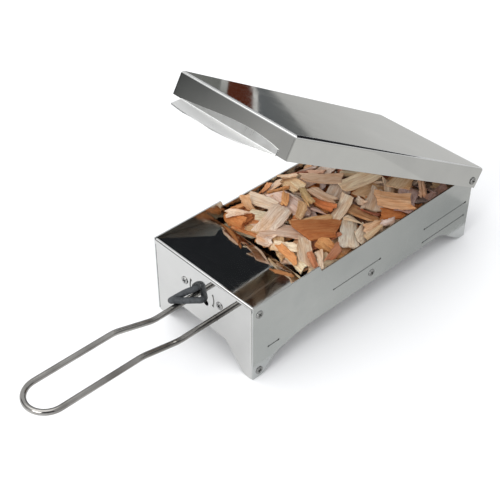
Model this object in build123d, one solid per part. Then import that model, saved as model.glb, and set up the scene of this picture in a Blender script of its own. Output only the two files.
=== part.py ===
"""Stainless wood-chip smoker box with a hinged lid and a pull-out wire handle.

Frame while modelling: x across the box, y from the front face (0) to the rear, z up from the
ground the feet stand on. Before export everything is moved along y, so that the origin lies
under the middle of the whole object, lid open and handle in. All sizes are in millimetres.
"""
import os
from math import cos, radians, sin, tan

from build123d import *

# Sheet-metal box
box_length = 240.0
box_width = 104.0
box_height = 68.0
sheet = 1.0
bend_radius = 0.8
rear_corner_radius = 1.5
front_edge_step = 0.5

# Top edge of the side walls: high shoulders at the front, lower behind
shoulder_length = 64.5
shoulder_step = 5.4
shoulder_run = 2.0

# Cut-outs that leave a foot at each corner
side_foot_length = 10.0
side_arch_height = 18.8
arch_knee_run = 12.0
arch_knee_part = 0.7
arch_front_run = 40.0
arch_rear_margin = 34.0
arch_rear_foot = 8.0
arch_bend_radii = (5.0, 18.0, 45.0, 18.0, 6.0)
top_edge_radii = (0.6, 1.6, 1.2, 0.6)
front_foot_width = 9.0
front_arch_height = 21.0
front_arch_run = 18.5
front_arch_foot_radius = 5.0
front_arch_top_radius = 9.0

# Front panel: upright face, then a mirror plate that slopes down to the chips
slope_angle = 13.6
slope_reach = 60.0
slope_drop = 9.0
front_flange_depth = 11.0
front_flange_drop = 4.6

# Base pan above the arches and chip tray above the pan, held by tabs in slits of the side walls
pan_above_arch = 4.9
pan_front = 13.0
front_pan_tab = (15.4, 25.2)
tray_above_pan = 13.0
tray_front = 61.2
tray_lip_overlap = 5.7
front_tray_tab = (80.9, 131.2)
rear_tab_length = 50.8
rear_tab_from_rear = 6.5
pan_flange_length = 30.0
pan_flange_height = 10.0
tab_gap = 0.1
tab_recess = 0.5
slit_end_radius = 0.9
plate_gap = 0.25
vent_length = 18.0
vent_width = 4.0
vent_columns = 3
vent_rows = 8

# Screws, nuts and washers, all M3 with wide thin heads
shank_radius = 1.5
hole_clearance = 0.15
head_radius = 3.2
head_height = 0.65
head_edge_part = 0.7
recess_length = 3.6
recess_width = 0.9
recess_depth = 1.5
nut_width = 5.5
nut_height = 2.4
washer_radius = 2.9
washer_height = 0.7
washer_split = 0.8
washer_split_turn = 25.0
thread_end = 1.2
front_screw_inset = 6.6
front_screw_drop = 8.6
front_screw_rise = 5.9
middle_screw_from_front = 122.4
middle_screw_above_pan = 4.3

# Lid, drawn closed and then turned open about its hinge
lid_skirt = 17.3
lid_side_gap = 0.95
lid_front_gap = 3.9
lid_rest_gap = 0.2
lid_bend_radius = 2.2
lid_rear_overhang = 2.4
lid_rear_flange = 4.0
lid_seam = 0.2
hinge_from_rear = 4.3
hinge_below_lid = 11.7
hinge_running_gap = 0.05
lid_open_angle = 30.9

# Finger lip: a folded strip whose back stands on the front skirt and whose tongue falls outwards.
# Both outlines are x along the skirt and the height of the back or the depth of the tongue.
lip_sheet = 0.8
lip_root_drop = 0.4
lip_fall = 28.0
lip_back = ((-45.0, 0.8), (-15.0, 4.3), (17.0, 6.8), (45.0, 4.2))
lip_tongue = ((-45.0, 8.4), (-6.0, 9.8), (45.0, 0.8))

# Handle: one bent wire whose two legs slide into the front panel
wire_radius = 2.25
wire_hole_clearance = 0.3
leg_spacing = 28.0
leg_below_screws = 14.5
leg_inside = 28.0
leg_outside = 34.0
grip_spacing = 31.0
grip_rise = 8.5
grip_start = 66.0
handle_reach = 149.5
handle_bend_radius = 30.0

# Bracket behind the front panel that guides the inner ends of the legs
bracket_sheet = 1.2
bracket_width = 50.0
bracket_top_margin = 7.0
bracket_shelf_gap = 1.35
bracket_depth = 20.0
bracket_foot_margin = 6.0
bracket_screw_spacing = 37.0
bracket_screw_drop = 19.0

# Retaining loop: a closed cord through two holes of the panel, folded over the left leg
cord_radius = 2.4
cord_clearance = 0.3
cord_upper_from_middle = (-6.0, 0.8)
cord_lower_from_middle = (1.0, -5.5)
cord_slot_run = 3.0
cord_slot_fall = 0.9
cord_fold_upper = (-5.0, 13.8)
cord_fold_lower = (1.0, 15.0)
cord_fold_height = 3.7
cord_fold_radius = 2.5
cord_back_depth = 7.5
cord_exit = 1.5
cord_bend_radius = 3.2
arc_slot_radius = 12.6
arc_slot_width = 1.3
arc_slot_turn = 44.0
arc_slot_end_radius = 1.1

# Heap of wood chips on the tray
chips_gap = 0.3
chips_edge_drop = 11.6
chips_top_drop = 0.1
chips_shoulder = 14.0
chips_shoulder_step = 0.01

# How far cutters reach past the surfaces that they open
cut_margin = 1.0

# Sizes that follow from the ones above
inner_half = box_width / 2 - sheet
wall_top = box_height - shoulder_step
slope_end_level = box_height - slope_reach * tan(radians(slope_angle))
slope_edge_level = slope_end_level - slope_drop
pan_level = side_arch_height + pan_above_arch
tray_level = pan_level + tray_above_pan
rear_tab = (box_length - rear_tab_from_rear - rear_tab_length, box_length - rear_tab_from_rear)
pan_tabs = (front_pan_tab, rear_tab)
tray_tabs = (front_tray_tab, rear_tab)
middle_screw_place = (middle_screw_from_front, pan_level + middle_screw_above_pan)
bracket_screw_level = box_height - bracket_screw_drop
leg_level = bracket_screw_level - leg_below_screws
grip_level = leg_level + grip_rise
cord_upper = (cord_upper_from_middle[0], bracket_screw_level + cord_upper_from_middle[1])
cord_lower = (cord_lower_from_middle[0], bracket_screw_level + cord_lower_from_middle[1])
chips_edge_level = wall_top - chips_edge_drop
chips_top_level = wall_top - chips_top_drop
lid_inner_top = box_height + lid_rest_gap
lid_top = lid_inner_top + sheet
lid_half = box_width / 2 + lid_side_gap + sheet
lid_front = -lid_front_gap - sheet
lid_rear = box_length + lid_rear_overhang + sheet
lid_bottom = lid_top - lid_skirt
hinge_y = box_length - hinge_from_rear
hinge_z = lid_top - hinge_below_lid
hinge_axis = Axis((0, hinge_y, hinge_z), (-1, 0, 0))
screw_hole_radius = shank_radius + hole_clearance
wire_hole_radius = wire_radius + wire_hole_clearance
cord_hole_radius = cord_radius + cord_clearance


def moved_corners(corners, distance):
    """Corners of the same polyline moved to its left by the distance, with mitred corners."""
    points = [Vector(*corner) for corner in corners]
    runs = [(b - a).normalized() for a, b in zip(points, points[1:])]
    normals = [Vector(-run.Y, run.X) for run in runs]
    before = normals[:1] + normals
    after = normals + normals[-1:]
    return [point + (a + b) * (distance / (1 + a.dot(b))) for point, a, b in zip(points, before, after)]


def folded_profile(corners, thickness, inside_radius):
    """Section of a folded sheet that lies to the left of the polyline, with round bends."""
    right = [Vector(*corner) for corner in corners]
    left = moved_corners(corners, thickness)
    right_radii = []
    left_radii = []
    for a, b, c in zip(right, right[1:], right[2:]):
        turns_left = (b - a).cross(c - b).Z > 0
        right_radii.append(inside_radius + thickness if turns_left else inside_radius)
        left_radii.append(inside_radius if turns_left else inside_radius + thickness)
    right_line = FilletPolyline(*right, radius=right_radii)
    left_line = FilletPolyline(*left, radius=left_radii)
    ends = [Line(right_line @ 0, left_line @ 0), Line(right_line @ 1, left_line @ 1)]
    return make_face(right_line.edges() + left_line.edges() + ends)


def across(face, half_width):
    """Extrude a profile drawn with y across and z up to both sides along x."""
    return extrude(Plane.YZ * face, amount=half_width, both=True)


def block(x_range, y_range, z_range):
    """Box between two x, two y and two z values."""
    size = [high - low for low, high in (x_range, y_range, z_range)]
    centre = [(high + low) / 2 for low, high in (x_range, y_range, z_range)]
    return Pos(*centre) * Box(*size)


def bore_x(radius, y, z):
    """Cutter along x through both side walls."""
    return Pos(0, y, z) * Rot(0, 90, 0) * Cylinder(radius, 2 * (lid_half + cut_margin))


def bore_y(radius, x, z, y_from, y_to):
    """Cutter along y between two y values."""
    return Pos(x, (y_from + y_to) / 2, z) * Rot(90, 0, 0) * Cylinder(radius, y_to - y_from)


def end_arch(y_from, y_to):
    """Cutter for the arch below the front panel or the rear wall."""
    foot = box_width / 2 - front_foot_width
    top = foot - front_arch_run
    corners = [(-box_width, 0), (-foot, 0), (-top, front_arch_height)]
    corners += [(-x, z) for x, z in reversed(corners)]
    bends = [front_arch_foot_radius, front_arch_top_radius, front_arch_top_radius, front_arch_foot_radius]
    arch = FilletPolyline(*corners, radius=bends)
    base = Polyline(arch @ 1, (box_width, -cut_margin), (-box_width, -cut_margin), arch @ 0)
    face = make_face(arch.edges() + base.edges())
    return Pos(0, y_to, 0) * extrude(Plane.XZ * face, amount=y_to - y_from)


def side_outline():
    """Outline of a side wall: feet, arch, straight rear edge and stepped top edge."""
    rise = side_arch_height
    knee = (side_foot_length + arch_knee_run, rise * arch_knee_part)
    arch = FilletPolyline(
        (front_edge_step, 0), (side_foot_length, 0), knee, (side_foot_length + arch_front_run, rise),
        (box_length - arch_rear_margin, rise), (box_length - arch_rear_foot, 0), (box_length, 0),
        radius=arch_bend_radii)
    step = shoulder_length
    top = FilletPolyline(
        arch @ 1, (box_length, wall_top), (step + shoulder_run, wall_top), (step, box_height),
        (front_edge_step, box_height), arch @ 0, radius=top_edge_radii)
    return make_face(arch.edges() + top.edges())


def slit(tab, level):
    """Cutter for a slit that takes one tab in both side walls, with round ends."""
    start, end = tab
    reach = box_width / 2 + cut_margin
    cut = block((-reach, reach), tab, (level - sheet / 2 - tab_gap, level + sheet / 2 + tab_gap))
    return cut + bore_x(slit_end_radius, start, level) + bore_x(slit_end_radius, end, level)


def side_screw_places():
    """Where the screws of each side wall sit, as y and z."""
    upper = (front_screw_inset, box_height - front_screw_drop)
    lower = (front_screw_inset, front_screw_rise)
    return [upper, lower, middle_screw_place]


def make_side_and_rear_wall():
    """Both side walls and the rear wall, bent from one sheet."""
    half = box_width / 2
    corners = [(half, 0), (half, box_length), (-half, box_length), (-half, 0)]
    wall = extrude(folded_profile(corners, sheet, rear_corner_radius - sheet), amount=box_height)
    wall &= across(side_outline(), half + cut_margin)
    wall -= end_arch(box_length - 2 * rear_corner_radius, box_length + cut_margin)
    for tab in tray_tabs:
        wall -= slit(tab, tray_level)
    for tab in pan_tabs:
        wall -= slit(tab, pan_level)
    for y, z in side_screw_places():
        wall -= bore_x(screw_hole_radius, y, z)
    return wall - bore_x(screw_hole_radius, hinge_y, hinge_z)


def arc_slot(middle_turn):
    """Cutter for a narrow arc slot round the middle of the front panel."""
    start = middle_turn - arc_slot_turn / 2
    centre = Vector(0, bracket_screw_level)
    path = CenterArc(centre, arc_slot_radius, start, arc_slot_turn)
    face = SlotArc(path, arc_slot_width).face()
    ends = [Pos(path @ t) * Circle(arc_slot_end_radius) for t in (0, 1)]
    shape = Plane.XZ * Sketch([face] + [end.face() for end in ends])
    return sum((extrude(part, amount=2 * sheet, both=True) for part in shape.faces()), Part())


def cord_holes(y_from, y_to):
    """Cutters for the two holes that the retaining loop passes through."""
    x, z = cord_lower
    cuts = bore_y(cord_hole_radius, *cord_upper, y_from, y_to)
    cuts += bore_y(cord_hole_radius, x, z, y_from, y_to)
    return cuts + bore_y(cord_hole_radius, x + cord_slot_run, z - cord_slot_fall, y_from, y_to)


def make_front_panel():
    """Upright front face with side flanges, and the plate that slopes back to the chips."""
    half, depth = inner_half, front_flange_depth
    upright = [(-half, depth), (-half, 0), (half, 0), (half, depth)]
    flange_top = box_height - front_flange_drop
    panel = extrude(folded_profile(upright, sheet, bend_radius), amount=flange_top)
    crest = [(slope_reach, slope_edge_level), (slope_reach, slope_end_level), (0, box_height), (0, flange_top)]
    panel += across(folded_profile(crest, sheet, bend_radius), half - plate_gap)
    panel -= end_arch(-cut_margin, sheet + cut_margin)
    panel -= across(side_outline_void(), half + cut_margin)
    for y, z in side_screw_places()[:2]:
        panel -= bore_x(screw_hole_radius, y, z)
    for side in (-1, 1):
        leg_x, screw_x = side * leg_spacing / 2, side * bracket_screw_spacing / 2
        panel -= bore_y(wire_hole_radius, leg_x, leg_level, -cut_margin, sheet + cut_margin)
        panel -= bore_y(screw_hole_radius, screw_x, bracket_screw_level, -cut_margin, sheet + cut_margin)
    for turn in (0, 180):
        panel -= arc_slot(turn)
    return panel - cord_holes(-cut_margin, sheet + cut_margin)


def side_outline_void():
    """Region behind the front feet that the flanges of the front panel leave open."""
    flat_part = front_flange_depth - sheet - bend_radius
    strip = Pos(front_flange_depth, 0) * Rectangle(2 * flat_part, side_foot_length)
    return (strip - side_outline()).face()


def plate_with_tabs(face, tabs, level):
    """Folded plate between the side walls, with a tab to each side in every slit."""
    plate = across(face, inner_half - plate_gap)
    reach = box_width / 2 - tab_recess
    for start, end in tabs:
        span = (start + slit_end_radius, end - slit_end_radius)
        plate += block((-reach, reach), span, (level - sheet / 2, level + sheet / 2))
    return plate


def make_chip_tray():
    """Vented floor that carries the chips, with its front edge folded up."""
    underside = tray_level - sheet / 2
    rear = box_length - rear_corner_radius - plate_gap
    lip_top = slope_edge_level + tray_lip_overlap
    corners = [(tray_front, lip_top), (tray_front, underside), (rear, underside)]
    tray = plate_with_tabs(folded_profile(corners, sheet, bend_radius), tray_tabs, tray_level)
    spacing_x = inner_half * 2 / (vent_columns + 1)
    spacing_y = (rear - tray_front) / vent_rows
    vent = extrude(SlotOverall(vent_length, vent_width), amount=2 * sheet, both=True)
    for column in range(vent_columns):
        for row in range(vent_rows):
            x = (column + 1) * spacing_x - inner_half
            y = tray_front + (row + 0.5) * spacing_y
            tray -= Pos(x, y, tray_level) * vent
    return tray


def make_base_pan():
    """Closed plate below the tray that keeps ash in, screwed through two upright flanges."""
    underside = pan_level - sheet / 2
    rear = box_length - rear_corner_radius - plate_gap
    strip = Pos((pan_front + rear) / 2, pan_level) * Rectangle(rear - pan_front, sheet)
    pan = plate_with_tabs(strip.face(), pan_tabs, pan_level)
    y, z = middle_screw_place
    half = inner_half
    top = underside + pan_flange_height
    corners = [(-half, top), (-half, underside), (half, underside), (half, top)]
    channel = Plane.XZ * folded_profile(corners, sheet, bend_radius)
    span = (y - pan_flange_length / 2, y + pan_flange_length / 2)
    reach = half + cut_margin
    pan -= block((-reach, reach), span, (underside - cut_margin, underside + sheet + cut_margin))
    pan += Pos(0, span[1], 0) * extrude(channel, amount=pan_flange_length)
    return pan - bore_x(screw_hole_radius, y, z)


def make_handle_bracket():
    """Stepped bracket: screwed behind the front face, its lower plate guides the legs."""
    top = bracket_screw_level + bracket_top_margin
    shelf = leg_level + wire_hole_radius + bracket_shelf_gap
    foot = leg_level - bracket_foot_margin
    corners = [(sheet, top), (sheet, shelf), (bracket_depth, shelf), (bracket_depth, foot)]
    profile = folded_profile(corners, bracket_sheet, bend_radius)
    bracket = across(profile, bracket_width / 2)
    back = sheet + bracket_sheet + cut_margin
    reach = bracket_sheet + cut_margin
    for side in (-1, 1):
        leg_x, screw_x = side * leg_spacing / 2, side * bracket_screw_spacing / 2
        bracket -= bore_y(wire_hole_radius, leg_x, leg_level, bracket_depth - reach, bracket_depth + reach)
        bracket -= bore_y(screw_hole_radius, screw_x, bracket_screw_level, 0, back)
    return bracket - cord_holes(0, back)


def make_screw(grip, turn):
    """Thin-headed screw along -z below its head, with a cross recess turned by the angle."""
    disc = Cylinder(head_radius, head_height)
    head = fillet(disc.edges().sort_by(Axis.Z)[-1], head_height * head_edge_part)
    head = Pos(0, 0, head_height / 2) * head
    length = grip + thread_end
    screw = head + Pos(0, 0, -length / 2) * Cylinder(shank_radius, length)
    bar = Box(recess_length, recess_width, 2 * recess_depth)
    cross = Pos(0, 0, head_height) * Rot(0, 0, turn) * (bar + Rot(0, 0, 90) * bar)
    return screw - cross


def make_nut():
    """Hexagon nut that stands on z = 0."""
    nut = extrude(RegularPolygon(nut_width / 2, 6, major_radius=False, rotation=30), amount=nut_height)
    thread_radius = shank_radius + hole_clearance / 2
    return nut - Pos(0, 0, nut_height / 2) * Cylinder(thread_radius, nut_height + cut_margin)


def make_washer(outer_radius, height):
    """Flat ring that stands on z = 0."""
    ring = Circle(outer_radius) - Circle(screw_hole_radius)
    return extrude(ring, amount=height)


def make_lock_washer():
    """Split spring washer that stands on z = 0."""
    cutter = Rot(washer_split_turn, 0, 0) * Box(washer_radius, washer_split, 3 * washer_height)
    ring_middle = (washer_radius + screw_hole_radius) / 2
    return make_washer(washer_radius, washer_height) - Pos(ring_middle, 0, washer_height / 2) * cutter


def seats(places, outward, face):
    """Planes on both side faces, one per place, whose z points outward or inward."""
    result = []
    for side in (-1, 1):
        for y, z in places:
            result.append(Plane((side * face, y, z), x_dir=(0, 1, 0), z_dir=(side * outward, 0, 0)))
    return result


def bracket_seats(y, facing):
    """Planes at the two bracket screws whose z points along y in the facing direction."""
    half = bracket_screw_spacing / 2
    return [Plane((x, y, bracket_screw_level), x_dir=(1, 0, 0), z_dir=(0, facing, 0)) for x in (-half, half)]


def on_each(planes, solid):
    """Group of copies of one solid, one on each plane."""
    return Compound([plane * solid for plane in planes])


def screws_on(planes, grip):
    """Group of screws whose recesses all stand at different angles."""
    return Compound([plane * make_screw(grip, 20 + 37 * i) for i, plane in enumerate(planes)])


def make_side_fasteners():
    """Screws, lock washers and nuts of the side walls."""
    places = side_screw_places()
    inside = inner_half - sheet
    grip = 2 * sheet + washer_height + nut_height
    return {
        "side_screws": screws_on(seats(places, 1, box_width / 2), grip),
        "side_lock_washers": on_each(seats(places, -1, inside), make_lock_washer()),
        "side_nuts": on_each(seats(places, -1, inside - washer_height), make_nut()),
    }


def make_bracket_fasteners():
    """Screws, lock washers and nuts that hold the bracket to the front panel."""
    back = sheet + bracket_sheet
    grip = back + washer_height + nut_height
    return {
        "bracket_screws": screws_on(bracket_seats(0, -1), grip),
        "bracket_lock_washers": on_each(bracket_seats(back, 1), make_lock_washer()),
        "bracket_nuts": on_each(bracket_seats(back + washer_height, 1), make_nut()),
    }


def make_hinge_fasteners():
    """Hinge screws with a washer on each side of the lid and a nut inside the wall."""
    place = [(hinge_y, hinge_z)]
    wall_face = box_width / 2
    outer_face = lid_half + hinge_running_gap
    spring = washer_height / 2
    spacer = lid_side_gap - hinge_running_gap
    grip = outer_face + spring - inner_half + nut_height
    return {
        "hinge_screws": screws_on(seats(place, 1, outer_face + spring), grip),
        "hinge_spring_washers": on_each(seats(place, 1, outer_face), make_washer(head_radius, spring)),
        "hinge_spacers": on_each(seats(place, 1, wall_face), make_washer(head_radius + 1, spacer)),
        "hinge_nuts": on_each(seats(place, -1, inner_half), make_nut()),
    }


def make_lid_lip():
    """Folded finger lip on the front skirt, drawn closed: low at one end, drawn in at the other."""
    fall = radians(lip_fall)
    root = lid_bottom - lip_root_drop
    deepest = max(depth for _, depth in lip_tongue) + lip_sheet
    highest = max(height for _, height in lip_back) + lip_sheet
    tip = (lid_front - deepest * cos(fall), root - deepest * sin(fall))
    profile = folded_profile([tip, (lid_front, root), (lid_front, root + highest)], lip_sheet, lip_sheet)
    strip = across(profile, lid_half)
    back = Spline(*[(x, root + height) for x, height in lip_back])
    tongue = Spline(*[(x, lid_front - lip_sheet - depth * cos(fall)) for x, depth in lip_tongue])
    start, end = lip_back[0][0], lip_back[-1][0]
    below = Polyline(back @ 1, (end, tip[1] - cut_margin), (start, tip[1] - cut_margin), back @ 0)
    behind = Polyline(tongue @ 1, (end, lid_front + cut_margin), (start, lid_front + cut_margin), tongue @ 0)
    strip &= extrude(Plane.XZ * make_face(back.edges() + below.edges()), amount=lid_half, both=True)
    return strip & extrude(make_face(tongue.edges() + behind.edges()), amount=box_height, both=True)


def make_lid_shell():
    """Lid with side and front skirts and a short rear flange, drawn closed."""
    inner = lid_half - sheet
    outside = block((-lid_half, lid_half), (lid_front, lid_rear), (lid_bottom, lid_top))
    outside = fillet(outside.faces().sort_by(Axis.Z)[-1].edges(), lid_bend_radius)
    inside_low = lid_bottom - cut_margin
    inside = block((-inner, inner), (lid_front + sheet, lid_rear - sheet), (inside_low, lid_inner_top))
    inside = fillet(inside.faces().sort_by(Axis.Z)[-1].edges(), lid_bend_radius - sheet)
    lid = outside - inside
    flange_bottom = lid_top - lid_rear_flange
    lid -= block((-inner, inner), (lid_rear - 2 * sheet, lid_rear + cut_margin), (inside_low, flange_bottom))
    for side in (-1, 1):
        seam = sorted((side * inner, side * (inner - lid_seam)))
        seam_run = (lid_front - cut_margin, lid_front + sheet)
        lid -= block(seam, seam_run, (inside_low, lid_top - lid_bend_radius))
    return lid - bore_x(screw_hole_radius, hinge_y, hinge_z)


def opened(shape):
    """The same shape turned from the closed lid's place to its open place at rest."""
    return shape.rotate(hinge_axis, lid_open_angle)


def make_handle_wire():
    """One wire: two straight legs, a step up on each side and a round end to the grip."""
    leg, grip = leg_spacing / 2, grip_spacing / 2
    round_start = -handle_reach + wire_radius + grip
    right = [(leg, leg_inside, leg_level), (leg, -leg_outside, leg_level)]
    right += [(grip, -grip_start, grip_level), (grip, round_start, grip_level)]
    left = [(-x, y, z) for x, y, z in reversed(right)]
    bends = [handle_bend_radius] * 2
    right_path = FilletPolyline(*right, radius=bends)
    left_path = FilletPolyline(*left, radius=bends)
    bow = ThreePointArc(right_path @ 1, (0, round_start - grip, grip_level), left_path @ 0)
    path = Wire(right_path.edges() + bow.edges() + left_path.edges())
    section = Plane(right_path @ 0, z_dir=right_path % 0) * Circle(wire_radius)
    wire = sweep(section, path=path)
    tips = wire.faces().filter_by(Axis.Y).sort_by(Axis.Y)[-2:]
    return fillet([edge for tip in tips for edge in tip.edges()], wire_radius / 3)


def make_retaining_loop():
    """Closed cord: two strands leave the panel, and their fold rests on top of the left leg."""
    resting = leg_level + wire_radius + cord_radius + cord_clearance / 2

    def fold_corner(place, height):
        x, distance = place
        return Vector(x - leg_spacing / 2, -distance, resting + height)

    fold = [fold_corner(cord_fold_upper, cord_fold_height), fold_corner(cord_fold_lower, 0)]
    holes = [Vector(x, 0, z) for x, z in (cord_upper, cord_lower)]
    back = Vector(0, cord_back_depth, 0)
    front = Vector(0, -cord_exit, 0)
    start = (holes[0] + holes[1]) / 2 + back
    end = (fold[0] + fold[1]) / 2
    cord = Part()
    for hole, corner in zip(holes, fold):
        corners = [start, hole + back, hole + front, corner, end]
        path = FilletPolyline(*corners, radius=[cord_bend_radius, cord_bend_radius, cord_fold_radius])
        section = Plane(path @ 0, z_dir=path % 0) * Circle(cord_radius)
        cord += sweep(section, path=path)
    return cord


def make_wood_chips():
    """Closed heap with sloping shoulders that fills the space above the tray."""
    half = inner_half - chips_gap
    floor = tray_level + sheet / 2 + chips_gap
    front = tray_front + sheet + bend_radius + chips_gap
    rear = box_length - rear_corner_radius - chips_gap
    low = block((-half, half), (front, rear), (floor, chips_edge_level))
    mound_rear = hinge_y - nut_width
    mound = block((-half, half), (front, mound_rear), (chips_edge_level, chips_top_level))
    rim = mound.faces().sort_by(Axis.Z)[-1].edges()
    rise = chips_top_level - chips_edge_level - chips_shoulder_step
    return low + chamfer(rim, length=rise, length2=chips_shoulder, reference=None)


def build_nodes():
    """Every piece of the object by name, in the modelling frame."""
    nodes = {
        "side_and_rear_wall": make_side_and_rear_wall(),
        "front_panel": make_front_panel(),
        "chip_tray": make_chip_tray(),
        "base_pan": make_base_pan(),
        "handle_bracket": make_handle_bracket(),
        "lid_shell": opened(make_lid_shell()),
        "lid_lip": opened(make_lid_lip()),
        "handle_wire": make_handle_wire(),
        "retaining_loop": make_retaining_loop(),
        "wood_chips": make_wood_chips(),
    }
    nodes.update(make_side_fasteners())
    nodes.update(make_bracket_fasteners())
    nodes.update(make_hinge_fasteners())
    return nodes


def main():
    """Build every node, centre the object along y and write one STEP file per node."""
    nodes = build_nodes()
    boxes = [node.bounding_box() for node in nodes.values()]
    middle = (min(box.min.Y for box in boxes) + max(box.max.Y for box in boxes)) / 2
    shift = Pos(0, -middle, 0)
    os.makedirs("parts", exist_ok=True)
    for name, node in nodes.items():
        export_step(shift * node, f"parts/{name}.step")
    print(f"origin moved along y to {middle:.4f} mm, hinge at y {hinge_y - middle:.4f}, z {hinge_z:.4f}")


main()
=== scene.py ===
"""Looks of the wood-chip smoker box: finishes for the CAD nodes, loose chips, the cord and a studio."""
import math
from collections import namedtuple

import bmesh
import bpy
import numpy as np
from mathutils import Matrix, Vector


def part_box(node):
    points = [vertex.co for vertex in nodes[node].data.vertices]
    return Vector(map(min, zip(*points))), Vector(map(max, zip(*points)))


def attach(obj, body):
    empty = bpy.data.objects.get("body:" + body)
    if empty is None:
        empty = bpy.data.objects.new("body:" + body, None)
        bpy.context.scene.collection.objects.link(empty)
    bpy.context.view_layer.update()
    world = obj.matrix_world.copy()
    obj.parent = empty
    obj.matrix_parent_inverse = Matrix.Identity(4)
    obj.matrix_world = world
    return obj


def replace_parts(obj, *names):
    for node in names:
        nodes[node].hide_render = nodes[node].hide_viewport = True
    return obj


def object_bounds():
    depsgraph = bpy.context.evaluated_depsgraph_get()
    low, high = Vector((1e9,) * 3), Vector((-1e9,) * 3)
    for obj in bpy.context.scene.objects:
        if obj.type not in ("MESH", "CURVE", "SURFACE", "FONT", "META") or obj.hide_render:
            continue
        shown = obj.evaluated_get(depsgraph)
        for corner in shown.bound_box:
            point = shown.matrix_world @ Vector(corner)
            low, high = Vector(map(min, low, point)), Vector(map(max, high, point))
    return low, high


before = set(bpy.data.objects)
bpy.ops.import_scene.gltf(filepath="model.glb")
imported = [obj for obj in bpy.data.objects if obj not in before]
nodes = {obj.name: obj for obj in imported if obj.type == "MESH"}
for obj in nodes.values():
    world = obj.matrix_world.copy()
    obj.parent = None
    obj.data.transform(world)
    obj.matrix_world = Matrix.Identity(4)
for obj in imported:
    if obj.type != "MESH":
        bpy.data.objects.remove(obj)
cad_low, cad_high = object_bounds()
rng = np.random.default_rng(20)


def srgb(red, green, blue):
    """Linear colour from 0 to 255 values as they look on screen."""
    values = [channel / 255 for channel in (red, green, blue)]
    linear = [v / 12.92 if v <= 0.04045 else ((v + 0.055) / 1.055) ** 2.4 for v in values]
    return (*linear, 1.0)


def add_object(name, data):
    """New object in the scene that holds the data."""
    made = bpy.data.objects.new(name, data)
    bpy.context.scene.collection.objects.link(made)
    return made


# ---------------------------------------------------------------- material helpers

def new_material(name):
    """Material with a Principled shader; returns the material, its tree and the shader node."""
    material = bpy.data.materials.new(name)
    material.use_nodes = True
    tree = material.node_tree
    return material, tree, tree.nodes["Principled BSDF"]


def add(tree, kind, **inputs):
    """New node with the given input values."""
    node = tree.nodes.new(kind)
    for name, value in inputs.items():
        node.inputs[name.replace("_", " ")].default_value = value
    return node


def coordinates(tree, scale=(1, 1, 1), attribute=None):
    """Object coordinates in metres, or a stored attribute, stretched by the scale."""
    if attribute:
        source = tree.nodes.new("ShaderNodeAttribute")
        source.attribute_name = attribute
        output = source.outputs["Vector"]
    else:
        output = tree.nodes.new("ShaderNodeTexCoord").outputs["Object"]
    mapping = add(tree, "ShaderNodeMapping", Scale=scale)
    tree.links.new(output, mapping.inputs["Vector"])
    return mapping.outputs["Vector"]


def noise(tree, vector, scale, detail=3.0, roughness=0.55, distortion=0.0):
    """Noise texture on the vector; returns its factor."""
    node = add(tree, "ShaderNodeTexNoise", Scale=scale, Detail=detail, Roughness=roughness,
               Distortion=distortion)
    tree.links.new(vector, node.inputs["Vector"])
    return node.outputs["Fac"]


def spread(tree, value, low, high, from_low=0.3, from_high=0.7):
    """Value stretched from its usual range to low and high."""
    node = add(tree, "ShaderNodeMapRange")
    settings = {"From Min": from_low, "From Max": from_high, "To Min": low, "To Max": high}
    for name, number in settings.items():
        node.inputs[name].default_value = number
    tree.links.new(value, node.inputs["Value"])
    return node.outputs["Result"]


def blend_colours(tree, factor, first, second, mode="MIX"):
    """Mix of two colours; each is a colour value or an output socket."""
    node = tree.nodes.new("ShaderNodeMix")
    node.data_type = "RGBA"
    node.blend_type = mode
    factor_socket, first_socket, second_socket = node.inputs[0], node.inputs[6], node.inputs[7]
    for socket, value in ((factor_socket, factor), (first_socket, first), (second_socket, second)):
        if isinstance(value, bpy.types.NodeSocket):
            tree.links.new(value, socket)
        else:
            socket.default_value = value
    return node.outputs[2]


def bump(tree, shader, height, strength, distance, normal=None):
    """Bump from the height into the shader's normal, on top of an earlier bump where one is given."""
    node = add(tree, "ShaderNodeBump", Strength=strength, Distance=distance)
    tree.links.new(height, node.inputs["Height"])
    if normal:
        tree.links.new(normal, node.inputs["Normal"])
    tree.links.new(node.outputs["Normal"], shader.inputs["Normal"])
    return node.outputs["Normal"]


def steel(name, light, dark, gloss, wave=0.00002):
    """Stainless steel: tone, faint handling marks in the gloss and the slow waviness of thin sheet."""
    material, tree, shader = new_material(name)
    shader.inputs["Metallic"].default_value = 1.0
    plain = coordinates(tree)
    tone = spread(tree, noise(tree, plain, scale=26, detail=4), 0, 1)
    tree.links.new(blend_colours(tree, tone, light, dark), shader.inputs["Base Color"])
    marks = noise(tree, plain, scale=75, detail=6, roughness=0.7, distortion=0.6)
    tree.links.new(spread(tree, marks, *gloss), shader.inputs["Roughness"])
    slow = noise(tree, plain, scale=14, detail=1.0)
    bump(tree, shader, slow, strength=1.0, distance=wave)
    return material


def cord_material():
    """Matte charcoal cord with a fine plaited surface."""
    material, tree, shader = new_material("charcoal_cord")
    plain = coordinates(tree)
    tone = spread(tree, noise(tree, plain, scale=420, detail=4), 0, 1)
    colour = blend_colours(tree, tone, srgb(34, 37, 40), srgb(66, 69, 72))
    tree.links.new(colour, shader.inputs["Base Color"])
    tree.links.new(spread(tree, noise(tree, plain, scale=900), 0.5, 0.75), shader.inputs["Roughness"])
    weave = noise(tree, plain, scale=1400, detail=3)
    bump(tree, shader, weave, strength=0.7, distance=0.0003)
    return material


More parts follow.
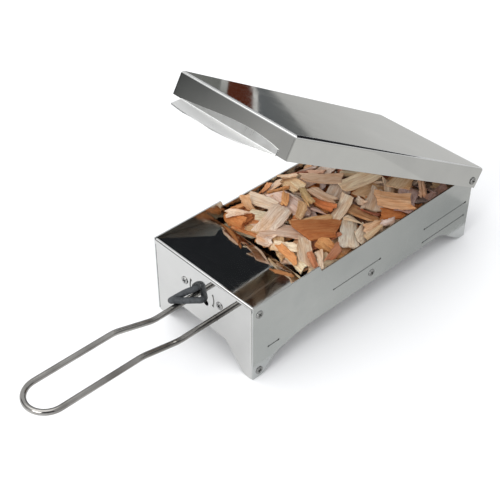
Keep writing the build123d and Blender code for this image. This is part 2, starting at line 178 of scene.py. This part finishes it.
def wood_material():
    """Split wood: each chip's own tone, grain and pores along its length."""
    material, tree, shader = new_material("split_wood")
    tone = tree.nodes.new("ShaderNodeAttribute")
    tone.attribute_name = "tone"
    grain_lines = noise(tree, coordinates(tree, (60, 900, 900), "grain"), scale=1, detail=5, roughness=0.65)
    broad = noise(tree, coordinates(tree, (35, 130, 130), "grain"), scale=1, detail=2, distortion=0.8)
    pores = noise(tree, coordinates(tree, (220, 2600, 2600), "grain"), scale=1, detail=2)
    darker = blend_colours(tree, 1.0, tone.outputs["Color"], srgb(188, 150, 128), "MULTIPLY")
    colour = blend_colours(tree, spread(tree, grain_lines, 0, 0.7), tone.outputs["Color"], darker)
    warm = blend_colours(tree, 1.0, colour, srgb(236, 196, 150), "MULTIPLY")
    colour = blend_colours(tree, spread(tree, broad, 0, 0.75, from_low=0.4, from_high=0.75), colour, warm)
    speck = blend_colours(tree, 1.0, colour, srgb(150, 112, 90), "MULTIPLY")
    colour = blend_colours(tree, spread(tree, pores, 0, 0.55, from_low=0.58, from_high=0.8), colour, speck)
    tree.links.new(colour, shader.inputs["Base Color"])
    tree.links.new(spread(tree, grain_lines, 0.62, 0.85), shader.inputs["Roughness"])
    shader.inputs["Specular IOR Level"].default_value = 0.3
    normal = bump(tree, shader, grain_lines, strength=0.8, distance=0.0006)
    bump(tree, shader, pores, strength=0.5, distance=0.0002, normal=normal)
    return material


# ---------------------------------------------------------------- finishes of the CAD nodes

def paint(names, material):
    """Give the CAD nodes one material."""
    for name in names:
        mesh = nodes[name].data
        for index in range(len(mesh.materials)):
            mesh.materials[index] = material
        if not mesh.materials:
            mesh.materials.append(material)


mirror_steel = steel("mirror_steel", light=(0.60, 0.60, 0.585, 1), dark=(0.55, 0.55, 0.54, 1),
                     gloss=(0.035, 0.085), wave=0.00003)
panel_steel = steel("panel_steel", light=(0.535, 0.545, 0.535, 1), dark=(0.47, 0.485, 0.48, 1),
                    gloss=(0.12, 0.22), wave=0.00004)
lip_steel = steel("lip_steel", light=(0.80, 0.80, 0.785, 1), dark=(0.71, 0.71, 0.695, 1),
                  gloss=(0.26, 0.38))
inner_steel = steel("inner_steel", light=(0.50, 0.50, 0.49, 1), dark=(0.42, 0.42, 0.41, 1),
                    gloss=(0.2, 0.35))
# The wire's steel is painted far darker than bare steel: painted shade standing in for the dark reflections
# along the wire.
wire_steel = steel("wire_steel", light=(0.38, 0.37, 0.35, 1), dark=(0.16, 0.15, 0.14, 1),
                   gloss=(0.07, 0.16), wave=0.00001)
# The fastener steel is painted darker than bare steel: painted shade for the dark recesses and outlines of
# the screw heads.
screw_steel = steel("screw_steel", light=(0.46, 0.46, 0.45, 1), dark=(0.24, 0.24, 0.235, 1),
                    gloss=(0.12, 0.28), wave=0.00001)

paint(["front_panel", "lid_shell"], mirror_steel)
paint(["side_and_rear_wall"], panel_steel)
paint(["lid_lip"], lip_steel)
paint(["chip_tray", "base_pan", "handle_bracket"], inner_steel)
paint(["handle_wire"], wire_steel)
fastener_nodes = [name for name in nodes if name.endswith(("screws", "washers", "nuts", "spacers"))]
paint(fastener_nodes, screw_steel)


# ---------------------------------------------------------------- wood chips

def weighted(*pairs):
    """Each tone as many times as its weight says."""
    return [tone for tone, weight in pairs for _ in range(weight)]


front_tones = weighted(
    (srgb(252, 234, 208), 8),  # cream
    (srgb(248, 224, 190), 7),  # light straw
    (srgb(240, 204, 158), 4),  # straw
    (srgb(232, 172, 116), 3),  # honey
    (srgb(222, 146, 88), 3),  # orange
    (srgb(196, 134, 102), 2),  # cinnamon
    (srgb(246, 232, 218), 3),  # chalk
)
rear_tones = weighted(
    (srgb(246, 228, 204), 4),  # cream
    (srgb(236, 206, 170), 4),  # straw
    (srgb(226, 182, 136), 3),  # honey
    (srgb(216, 146, 92), 3),  # orange
    (srgb(184, 124, 98), 3),  # cinnamon
    (srgb(214, 192, 184), 4),  # pale lilac grey
    (srgb(186, 162, 154), 2),  # lilac grey
    (srgb(150, 104, 86), 1),  # brown
    (srgb(236, 222, 212), 3),  # chalk
)
rear_tone_growth = 1.6
rear_tone_delay = 0.3
tone_lightness = (0.82, 1.12)
tone_scatter = 0.03

# Where the heap lies; all lengths are in metres
tray_low, tray_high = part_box("wood_chips")
wall_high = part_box("side_and_rear_wall")[1]
nuts_low, nuts_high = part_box("hinge_nuts")
chips_front = tray_low[1] - 0.0022
wall_room = 0.0004
cell = 0.001
heap_depth = 0.016
chip_ceiling = wall_high[2] - 0.0014
nut_reach = 0.006
nuts_inside = nuts_high[0] - nut_reach
nuts_middle = (nuts_low[1] + nuts_high[1]) / 2
above_nuts = nuts_high[2] + 0.0005

# The surface that the heap is to reach
crown_below_wall = 0.0065
hump_height = 0.004
hump_place = 0.22
hump_run = 0.36
side_fall = 0.0015
rear_fall = 0.003
rear_fall_start = 0.6

# How a chip is laid: each round lays chips of about one size, some way below that surface
ChipRound = namedtuple("ChipRound", "length width tries spare")
chip_rounds = (
    ChipRound(length=0.033, width=0.016, tries=160, spare=0.007),
    ChipRound(length=0.020, width=0.008, tries=300, spare=0.005),
    ChipRound(length=0.032, width=0.015, tries=400, spare=0.002),
    ChipRound(length=0.022, width=0.009, tries=500, spare=0.001),
    ChipRound(length=0.034, width=0.018, tries=400, spare=-0.001),
    ChipRound(length=0.017, width=0.006, tries=700, spare=0.0),
)
length_range = (0.7, 1.25)
width_range = (0.65, 1.3)
thick_range = (0.0016, 0.0036)
spots_tried = 8
front_share = 0.2
fewest_cells = 20
slope_follow = 1.1
slope_scatter = 0.05
steepest_slope = 0.6
resting_share = 0.93
usual_excess = 0.0015
usual_excess_share = 0.25
most_excess = 0.0045

# How a chip is shaped
chip_columns = 11
chip_rows = 5
most_skew = 0.75
tapered_share = 0.6
narrowest_end = 0.45
most_bow = 0.06
most_curl = 0.0011
most_twist = 0.0012
ridge_share = 0.13
thinnest_edge = 0.35
torn_end = 0.0011
torn_side = 0.00022
end_power = 6
end_wear = 0.45
least_wear = 0.4


class Heap:
    """Height map of the chips already laid down, on a grid of square cells."""

    def __init__(self):
        self.low = np.array([tray_low[0] + wall_room, chips_front])
        self.high = np.array([tray_high[0] - wall_room, tray_high[1] - wall_room])
        size = np.floor((self.high - self.low) / cell).astype(int)
        grid = np.meshgrid(np.arange(size[0]), np.arange(size[1]), indexing="ij")
        self.x = self.low[0] + (grid[0] + 0.5) * cell
        self.y = self.low[1] + (grid[1] + 0.5) * cell
        self.limit = self.crown()
        self.height = self.limit - heap_depth
        over_nuts = (np.abs(self.x) > nuts_inside) & (np.abs(self.y - nuts_middle) < nut_reach)
        self.height[over_nuts] = above_nuts

    def crown(self):
        """Height that the heap's surface is to reach: highest along the middle, towards the front."""
        across = np.abs(self.x) / self.high[0]
        along = (self.y - self.low[1]) / (self.high[1] - self.low[1])
        hump = hump_height * np.exp(-((along - hump_place) / hump_run) ** 2)
        behind = np.clip((along - rear_fall_start) / (1 - rear_fall_start), 0, 1)
        fall = side_fall * across ** 2 + rear_fall * behind
        return wall_high[2] - crown_below_wall + hump - fall

    def cells(self, outline):
        """Mask of the cells inside a convex outline of xy points."""
        inside = np.ones(self.x.shape, bool)
        for a, b in zip(outline, np.roll(outline, -1, axis=0)):
            inside &= (b[0] - a[0]) * (self.y - a[1]) - (b[1] - a[1]) * (self.x - a[0]) >= 0
        return inside

    def low_spot(self, flat):
        """Lowest of a few random places where a chip with these xy points stays on the heap."""
        reach = np.abs(flat).max(axis=0)
        spots = self.low + rng.uniform((0, -front_share), 1, (spots_tried, 2)) * (self.high - self.low)
        spots = np.clip(spots, self.low + reach, self.high - reach)
        places = ((spots - self.low) / cell).astype(int)
        depth = (self.height - self.limit)[places[:, 0], places[:, 1]]
        return spots[np.argmin(depth)]


def chip_shape(length, width, thick):
    """Grid points of one chip in its own frame, with u along the grain: top and bottom sheets."""
    skew = rng.uniform(-most_skew, most_skew, 2)
    taper = rng.uniform(narrowest_end, 1.0) if rng.random() < tapered_share else 1.0
    bow = rng.uniform(-most_bow, most_bow) * length
    curl = rng.uniform(-1, 1) * most_curl
    twist = rng.uniform(-1, 1) * most_twist
    ridges = rng.normal(0, 1, chip_rows) * thick * ridge_share
    thin_side, thin_end = rng.uniform(thinnest_edge, 1.0, 2)
    jag = rng.normal(0, 1, (chip_columns, chip_rows))
    top = np.zeros((chip_columns, chip_rows, 3))
    bottom = np.zeros_like(top)
    for i in range(chip_columns):
        a = i / (chip_columns - 1)
        for j in range(chip_rows):
            b = 2 * j / (chip_rows - 1) - 1
            half = width / 2 * (1 + (taper - 1) * a)
            end = abs(2 * a - 1) ** end_power
            u = (a - 0.5) * length + half * b * (skew[0] * (1 - a) + skew[1] * a)
            u += jag[i, j] * torn_end * end
            v = half * b + bow * (2 * a - 1) ** 2 + jag[i, j] * torn_side
            lift = curl * (2 * a - 1) ** 2 + twist * (2 * a - 1) * b
            body = thick * (1 - (1 - thin_side) * (b + 1) / 2) * (1 - (1 - thin_end) * a)
            body *= 1 - end_wear * end * rng.uniform(least_wear, 1)
            top[i, j] = u, v, lift + body / 2 + ridges[j] * (1 - end)
            bottom[i, j] = u, v, lift - body / 2
    return top, bottom


def convex_outline(points):
    """Convex hull of xy points, counter-clockwise."""
    ordered = sorted(map(tuple, points))
    hull = []
    for run in (ordered, ordered[::-1]):
        start = len(hull)
        for p in run:
            while len(hull) >= start + 2:
                (ax, ay), (bx, by) = hull[-2], hull[-1]
                if (bx - ax) * (p[1] - ay) - (by - ay) * (p[0] - ax) > 0:
                    break
                hull.pop()
            hull.append(p)
        hull.pop()
    return np.array(hull)


def lay_chip(heap, length, width, thick, spare):
    """Drop one chip on a low place of the heap; returns both sheets in place and the top one in its own
    frame, or None where the chip would stand too high."""
    top, bottom = chip_shape(length, width, thick)
    turn = rng.uniform(0, 2 * math.pi)
    cos_t, sin_t = math.cos(turn), math.sin(turn)
    spin = np.array([[cos_t, -sin_t], [sin_t, cos_t]])
    flat = top[:, :, :2].reshape(-1, 2) @ spin.T
    centre = heap.low_spot(flat)
    inside = heap.cells(convex_outline(flat + centre))
    if inside.sum() < fewest_cells:
        return None
    dx, dy = heap.x[inside] - centre[0], heap.y[inside] - centre[1]
    below = heap.height[inside]
    design = np.stack([dx, dy, np.ones_like(dx)], axis=1)
    slope = np.linalg.lstsq(design, below, rcond=None)[0][:2]
    scatter = rng.normal(0, slope_scatter, 2)
    slope = np.clip(slope * slope_follow + scatter, -steepest_slope, steepest_slope)
    plane = design[:, :2] @ slope
    gap = np.sort(below - plane)
    base = gap[int(resting_share * (len(gap) - 1))]
    surface = plane + base + thick
    allowed = heap.limit[inside] - spare
    mostly_high = (surface > allowed + usual_excess).mean() > usual_excess_share
    if mostly_high or (surface > allowed + most_excess).any() or (surface > chip_ceiling).any():
        return None
    heap.height[inside] = np.maximum(below, surface)
    placed = []
    for sheet in (top, bottom):
        xy = sheet[:, :, :2] @ spin.T
        z = sheet[:, :, 2] + base + thick / 2 + xy @ slope
        placed.append(np.dstack([xy + centre, z]))
    return placed, top


def add_chip(mesh, grain, tone, placed, local, colour):
    """Closed chip in the mesh from its two sheets, with grain coordinates and tone on each point."""
    offset = rng.uniform(0, 1, 3)
    made = []
    for sheet in placed:
        rows = []
        for i in range(chip_columns):
            row = []
            for j in range(chip_rows):
                vert = mesh.verts.new(sheet[i, j])
                vert[grain] = Vector(local[i, j]) + Vector(offset) + Vector((0, 0, sheet[i, j, 2]))
                vert[tone] = colour
                row.append(vert)
            rows.append(row)
        made.append(rows)
    top, bottom = made
    last_column, last_row = chip_columns - 1, chip_rows - 1
    for i in range(last_column):
        for j in range(last_row):
            mesh.faces.new((top[i][j], top[i + 1][j], top[i + 1][j + 1], top[i][j + 1]))
            mesh.faces.new((bottom[i][j], bottom[i][j + 1], bottom[i + 1][j + 1], bottom[i + 1][j]))
    rim = [(i, 0) for i in range(chip_columns)]
    rim += [(last_column, j) for j in range(1, chip_rows)]
    rim += [(i, last_row) for i in range(last_column - 1, -1, -1)]
    rim += [(0, j) for j in range(last_row - 1, 0, -1)]
    for (i, j), (k, m) in zip(rim, rim[1:] + rim[:1]):
        mesh.faces.new((top[i][j], bottom[i][j], bottom[k][m], top[k][m]))


def chip_colour(place):
    """Pale creams and oranges at the front, more greys and browns behind; each a little lighter or darker."""
    behind = (place - tray_low[1]) / (tray_high[1] - tray_low[1])
    tones = rear_tones if rng.random() < rear_tone_growth * behind - rear_tone_delay else front_tones
    base = np.array(tones[rng.integers(len(tones))][:3])
    shade = base * rng.uniform(*tone_lightness) * rng.normal(1, tone_scatter, 3)
    return (*np.clip(shade, 0, 1), 1.0)


def make_chips(material):
    """Heap of separate chips that lie on each other."""
    heap = Heap()
    mesh = bmesh.new()
    grain = mesh.verts.layers.float_vector.new("grain")
    tone = mesh.verts.layers.float_color.new("tone")
    for chip_round in chip_rounds:
        for _ in range(chip_round.tries):
            length = chip_round.length * rng.uniform(*length_range)
            width = chip_round.width * rng.uniform(*width_range)
            laid = lay_chip(heap, length, width, rng.uniform(*thick_range), chip_round.spare)
            if laid:
                place = laid[0][0][:, :, 1].mean()
                add_chip(mesh, grain, tone, *laid, chip_colour(place))
    data = bpy.data.meshes.new("wood_chips_heap")
    mesh.to_mesh(data)
    mesh.free()
    data.materials.append(material)
    piece = add_object("wood_chips_heap", data)
    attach(piece, "box")
    return piece


chips = make_chips(wood_material())
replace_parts(chips, "wood_chips")


# ---------------------------------------------------------------- cord

# Points of the closed cord in millimetres: x, distance in front of the panel, z
cord_run = (
    (1, -7.5, 43.5), (-6, -7.5, 49.8),  # behind the panel, from the lower hole to the upper one
    (-6, -3, 49.8), (-6, 0, 49.8), (-6.4, 2, 49.5),  # out of the upper hole
    (-11, 5, 45.8), (-18, 8.5, 38.4), (-20.6, 11, 35.4),  # down over the left leg
    (-20, 13, 36.2), (-15.2, 12.8, 39.6),  # round the bend
    (-9, 8.5, 40.8), (-3, 4.2, 42.6), (0.8, 1.8, 43.5),  # back above the leg
    (1, 0, 43.5), (1, -3, 43.5),  # into the lower hole
)
millimetre = 0.001
cord_radius = 2.38 * millimetre
cord_steps = 10
cord_roundness = 6


def make_cord(material):
    """Rubbery cord: out of the upper hole, folded over the left leg, back into the lower hole."""
    panel_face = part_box("front_panel")[0][1]
    curve = bpy.data.curves.new("retaining_cord_run", "CURVE")
    curve.dimensions = "3D"
    spline = curve.splines.new("NURBS")
    spline.points.add(len(cord_run) - 1)
    for point, (x, distance, z) in zip(spline.points, cord_run):
        point.co = (x * millimetre, panel_face - distance * millimetre, z * millimetre, 1)
    spline.order_u = 3
    spline.use_cyclic_u = True
    spline.resolution_u = cord_steps
    curve.bevel_depth = cord_radius
    curve.bevel_resolution = cord_roundness
    run = add_object("retaining_cord_run", curve)
    tube = bpy.data.meshes.new_from_object(run.evaluated_get(bpy.context.evaluated_depsgraph_get()))
    bpy.data.objects.remove(run)
    tube.materials.clear()
    tube.materials.append(material)
    tube.polygons.foreach_set("use_smooth", [True] * len(tube.polygons))
    piece = add_object("retaining_cord", tube)
    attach(piece, "box")
    return piece


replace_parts(make_cord(cord_material()), "retaining_loop")


# ---------------------------------------------------------------- studio

floor_reach = 3.0
floor_gap = 0.0002
mottle_depth = 0.12


def rectangle(x_low, x_high, y_low, y_high):
    """Corners of a rectangle, counter-clockwise."""
    return [(x_low, y_low), (x_high, y_low), (x_high, y_high), (x_low, y_high)]


def stripe(left, right, distances):
    """Corners of a bent stripe between two edges, each given by its x at the three distances."""
    near_to_far = list(zip(right, distances))
    far_to_near = list(zip(left, distances))[::-1]
    return far_to_near[-1:] + near_to_far + far_to_near[:-1]


def lying(level, corners):
    """Corners on the floor at a small height."""
    return [(x, y, level) for x, y in corners]


def standing(azimuth, distance, half_width, low, high):
    """Corners of an upright card that faces the object from an azimuth, 0 behind it and 90 at its right."""
    turn = math.radians(azimuth)
    out = Vector((math.sin(turn), math.cos(turn), 0))
    side = Vector((math.cos(turn), -math.sin(turn), 0))
    left = out * distance - side * half_width
    right = out * distance + side * half_width
    return [(left.x, left.y, low), (right.x, right.y, low), (right.x, right.y, high), (left.x, left.y, high)]


def flat_object(name, corners, material):
    """One flat face with the given corners."""
    data = bpy.data.meshes.new(name)
    data.from_pydata(corners, [], [tuple(range(len(corners)))])
    data.materials.append(material)
    flat = add_object(name, data)
    return flat


def make_floor():
    """Plain pale floor."""
    material, tree, shader = new_material("studio_floor")
    tone = spread(tree, noise(tree, coordinates(tree), scale=2.0, detail=1), 0, 1)
    pale = blend_colours(tree, tone, (0.93, 0.93, 0.93, 1), (0.91, 0.91, 0.915, 1))
    tree.links.new(pale, shader.inputs["Base Color"])
    shader.inputs["Roughness"].default_value = 0.9
    shader.inputs["Specular IOR Level"].default_value = 0.1
    corners = rectangle(-floor_reach, floor_reach, -floor_reach, floor_reach)
    flat_object("studio_floor", lying(cad_low[2] - floor_gap, corners), material)


def card_material(name, start, end, along, low, high):
    """Card that glows from one tone to another between two places along an axis, faintly mottled."""
    material = bpy.data.materials.new(name)
    material.use_nodes = True
    tree = material.node_tree
    tree.nodes.clear()
    output = tree.nodes.new("ShaderNodeOutputMaterial")
    glow = tree.nodes.new("ShaderNodeEmission")
    plain = coordinates(tree)
    split = tree.nodes.new("ShaderNodeSeparateXYZ")
    tree.links.new(plain, split.inputs[0])
    place = spread(tree, split.outputs[along], 0, 1, from_low=low, from_high=high)
    mottle = spread(tree, noise(tree, plain, scale=9, detail=2), -mottle_depth, mottle_depth)
    total = tree.nodes.new("ShaderNodeMath")
    total.operation = "ADD"
    total.use_clamp = True
    tree.links.new(place, total.inputs[0])
    tree.links.new(mottle, total.inputs[1])
    tree.links.new(blend_colours(tree, total.outputs[0], start, end), glow.inputs["Color"])
    tree.links.new(glow.outputs[0], output.inputs["Surface"])
    return material


def reflection_card(name, corners, **tones):
    """Studio card that only shows in the steel's reflections."""
    card = flat_object(name, corners, card_material(name, **tones))
    card.visible_camera = False
    card.visible_diffuse = False
    card.visible_shadow = False
    card.visible_transmission = False
    return card


# Cards on the floor lie at different heights, so that the narrower ones show on top
low_card, slate_card, ash_card, brown_card, line_card = 0.0005, 0.0010, 0.0012, 0.0016, 0.0018
beside_box, beside_strip, behind_box = 0.060, 0.108, 0.225
right_start = -0.12
card_end = 0.9
slate_corners = [(-0.46, 0.36), (-0.375, 0.40), (-0.30, 0.56), (-0.30, 0.9), (-0.62, 0.9)]
ash_corners = [(-0.95, 0.30), (-0.415, 0.38), (-0.50, 0.60), (-0.95, 0.95)]

# The brown stripe and the pale lines at its two sides: x of each edge at three distances behind the box
stripe_distances = (0.40, 0.47, 0.60)
pale_line_left = (-0.440, -0.462, -0.545)
brown_left = (-0.430, -0.450, -0.53)
brown_right = (-0.385, -0.405, -0.47)
pale_line_right = (-0.378, -0.396, -0.46)

pale = (0.62, 0.62, 0.60, 1)
ash = (0.21, 0.215, 0.20, 1)


def make_floor_cards():
    """Grey cards on the floor beside and behind the object, with a brown stripe behind it."""
    reflection_card("card_rear_grey", lying(low_card, rectangle(-0.42, 0.45, behind_box, card_end)),
                    start=(0.48, 0.48, 0.465, 1), end=(0.68, 0.68, 0.665, 1), along="X", low=-0.34, high=0.0)
    # The card beside the box glows pale at the front and darker towards the rear: painted shade of the floor
    # beside the box, seen only in the side wall's reflection.
    reflection_card("card_beside_box",
                    lying(low_card, rectangle(beside_box, beside_strip, right_start, behind_box)),
                    start=(0.82, 0.83, 0.82, 1), end=(0.50, 0.51, 0.50, 1), along="Y", low=-0.08, high=0.20)
    reflection_card("card_right_grey",
                    lying(low_card, rectangle(beside_strip, card_end, right_start, behind_box)),
                    start=(0.76, 0.76, 0.74, 1), end=(0.78, 0.78, 0.76, 1), along="X",
                    low=beside_strip, high=card_end)
    reflection_card("card_rear_slate", lying(slate_card, slate_corners),
                    start=(0.10, 0.11, 0.12, 1), end=(0.17, 0.175, 0.17, 1), along="X", low=-0.46, high=-0.32)
    reflection_card("card_rear_ash", lying(ash_card, ash_corners),
                    start=ash, end=(0.15, 0.155, 0.145, 1), along="X", low=-0.6, high=-0.45)
    reflection_card("card_rear_brown", lying(brown_card, stripe(brown_left, brown_right, stripe_distances)),
                    start=(0.075, 0.018, 0.008, 1), end=(0.10, 0.025, 0.012, 1), along="Y", low=0.4, high=0.6)
    reflection_card("card_line_left", lying(line_card, stripe(pale_line_left, brown_left, stripe_distances)),
                    start=pale, end=ash, along="Y", low=0.45, high=0.55)
    reflection_card("card_line_right",
                    lying(line_card, stripe(brown_right, pale_line_right, stripe_distances)),
                    start=pale, end=pale, along="Y", low=0.45, high=0.55)


def make_upright_cards():
    """Dark cards round the object, two behind it and two in front."""
    reflection_card("card_dark_wall",
                    standing(azimuth=-38, distance=0.95, half_width=0.85, low=0.10, high=0.50),
                    start=(0.028, 0.03, 0.036, 1), end=(0.018, 0.02, 0.022, 1), along="Z", low=0.1, high=0.5)
    reflection_card("card_dark_right",
                    standing(azimuth=36, distance=0.95, half_width=0.6, low=0.10, high=0.50),
                    start=(0.03, 0.03, 0.034, 1), end=(0.02, 0.02, 0.022, 1), along="Z", low=0.1, high=0.5)
    reflection_card("card_front_right",
                    standing(azimuth=133, distance=1.3, half_width=0.55, low=0.45, high=1.7),
                    start=(0.05, 0.05, 0.055, 1), end=(0.09, 0.09, 0.10, 1), along="Z", low=0.5, high=1.6)
    reflection_card("card_front_left",
                    standing(azimuth=-139, distance=0.85, half_width=0.30, low=0.22, high=0.60),
                    start=(0.07, 0.075, 0.075, 1), end=(0.50, 0.50, 0.49, 1), along="X",
                    low=-0.62, high=-0.50)


def area_light(name, place, aim, size, power):
    """Rectangular soft light that faces a point."""
    data = bpy.data.lights.new(name, "AREA")
    data.shape = "RECTANGLE"
    data.size, data.size_y = size
    data.energy = power
    light = add_object(name, data)
    light.location = place
    direction = Vector(aim) - Vector(place)
    light.rotation_euler = direction.to_track_quat("-Z", "Y").to_euler()


def make_world(colour, strength):
    """Studio dome of one tone."""
    world = bpy.data.worlds.new("studio")
    bpy.context.scene.world = world
    world.use_nodes = True
    background = world.node_tree.nodes["Background"]
    background.inputs["Color"].default_value = colour
    background.inputs["Strength"].default_value = strength


def make_camera(azimuth, elevation, aim, distance, lens, sensor):
    """Camera that looks down at the aim, from an azimuth of 0 in front and 90 at the right-hand side."""
    azimuth, elevation = math.radians(azimuth), math.radians(elevation)
    level = math.cos(elevation)
    back = Vector((math.sin(azimuth) * level, -math.cos(azimuth) * level, math.sin(elevation)))
    data = bpy.data.cameras.new("camera")
    data.lens = lens
    data.sensor_width = sensor
    camera = add_object("camera", data)
    camera.location = Vector(aim) + back * distance
    camera.rotation_euler = (-back).to_track_quat("-Z", "Y").to_euler()
    bpy.context.scene.camera = camera


make_floor()
make_floor_cards()
make_upright_cards()
make_world(colour=(0.97, 0.98, 1.0, 1), strength=0.92)
area_light("overhead_softbox", place=(-0.35, -0.35, 1.6), aim=(0, 0, 0), size=(1.3, 1.3), power=9)
area_light("front_fill", place=(0.15, -1.3, 0.85), aim=(0, 0.05, 0.05), size=(0.7, 0.5), power=8)
make_camera(azimuth=46.88, elevation=39.83, aim=(-0.0181, 0.0143, 0.0411), distance=0.79,
            lens=75.9, sensor=36.0)
bpy.context.scene.view_settings.view_transform = "Standard"
